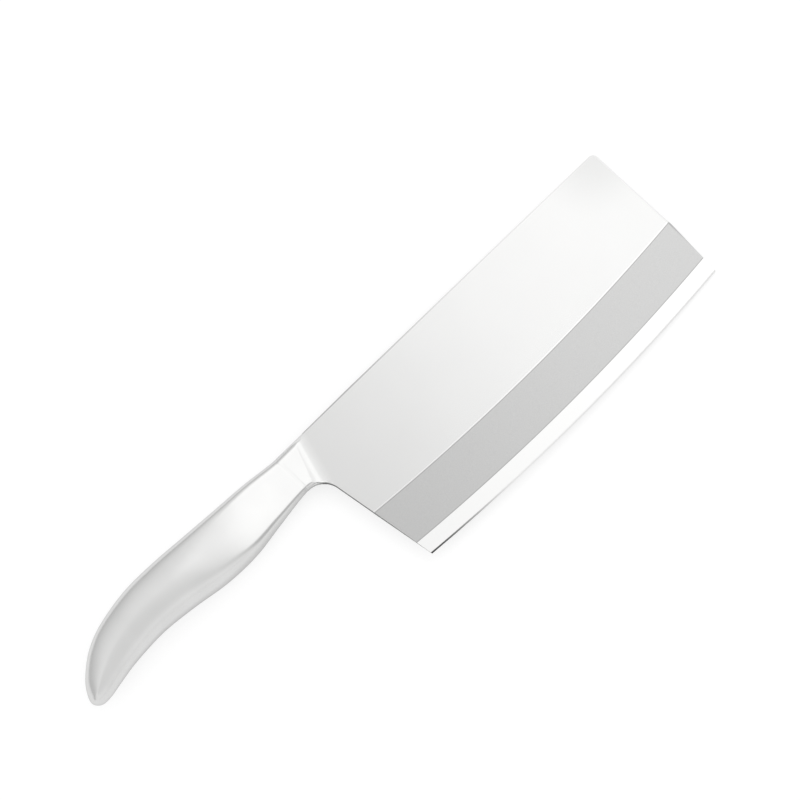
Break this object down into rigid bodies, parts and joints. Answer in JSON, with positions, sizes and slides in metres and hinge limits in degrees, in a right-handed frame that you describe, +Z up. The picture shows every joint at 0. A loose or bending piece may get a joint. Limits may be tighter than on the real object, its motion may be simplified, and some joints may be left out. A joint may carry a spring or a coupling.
{
  "type": "cleaver",
  "caption": "All-steel kitchen cleaver lying on its side, with a broad ground blade and a curved hollow handle of two welded shells.",
  "frame": {"origin": "on the table, under the middle of the knife's own box, where the knife lies on its left side", "axes": "+X along the knife from the butt to the blade's front end, +Y from the cutting edge to the spine, +Z up from the table"},
  "size_m": [0.3024, 0.0788, 0.0181],
  "materials": {
    "blade_steel": "fine satin faces, a matt blasted zone above a polished strip at the edge",
    "bolster_steel": "fine satin",
    "handle_steel": "fine satin",
    "weld_steel": "weld ground flush and brushed"
  },
  "bodies": {
    "root": {"blade": "blade_steel", "bolster_right": "bolster_steel", "bolster_left": "bolster_steel", "handle_shell_right": "handle_steel", "handle_shell_left": "handle_steel", "neck_weld": "weld_steel", "seam_weld": "weld_steel"}
  },
  "joints": []
}
